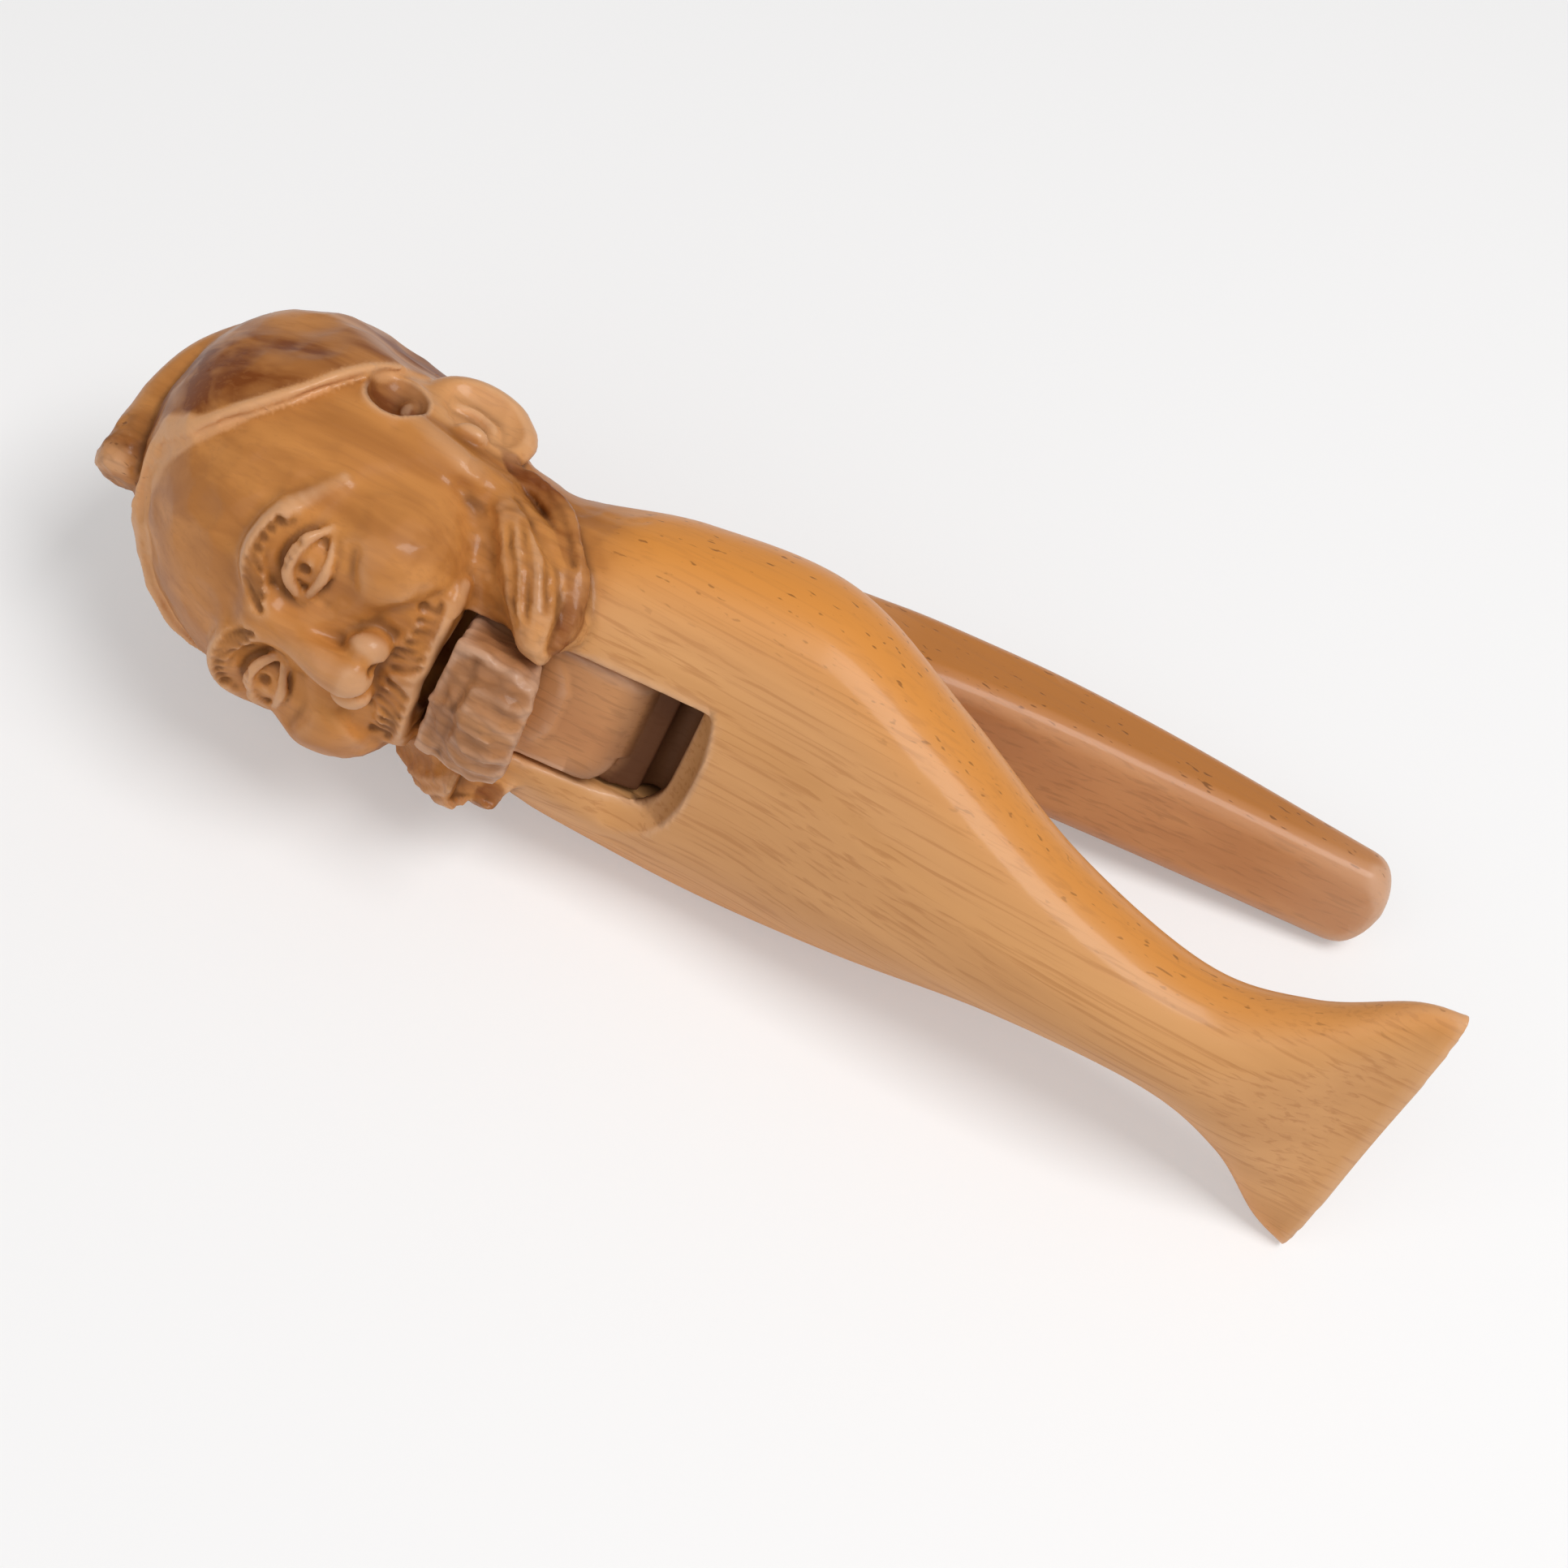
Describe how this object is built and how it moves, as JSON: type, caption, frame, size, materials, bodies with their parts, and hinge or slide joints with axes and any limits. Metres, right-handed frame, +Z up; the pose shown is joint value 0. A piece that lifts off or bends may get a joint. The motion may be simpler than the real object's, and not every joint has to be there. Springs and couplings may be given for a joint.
{
  "type": "carved wooden lever nutcracker",
  "caption": "Carved wooden nutcracker: a capped, bearded head on a fish-tailed body, with a hinged lever whose upper end is the jaw and whose lower end is the handle.",
  "frame": {"origin": "on the table, under the middle of the part as it lies on its right side", "axes": "+Z up from the table, +X along the figure from crown to tail, +Y from the figure's front to its back"},
  "size_m": [0.1996, 0.076, 0.0584],
  "materials": {
    "body_wood": "satin lacquer over golden brown hardwood, darker in the carved recesses",
    "lever_wood": "satin lacquer over pinkish brown hardwood",
    "plug_wood": "satin lacquer over end grain",
    "pin_steel": "plain drawn wire"
  },
  "bodies": {
    "body": {"carved_body": "body_wood", "pivot_pin": "pin_steel", "pin_plug": "plug_wood"},
    "lever": {"jaw_lever": "lever_wood"}
  },
  "joints": [
    {"name": "jaw_hinge", "type": "hinge", "parent": "body", "child": "lever", "pos_m": [-0.01697, -0.00425, 0.02707], "axis": [0.0651, 0.3153, 0.9467], "range_deg": [-2, 26]}
  ]
}
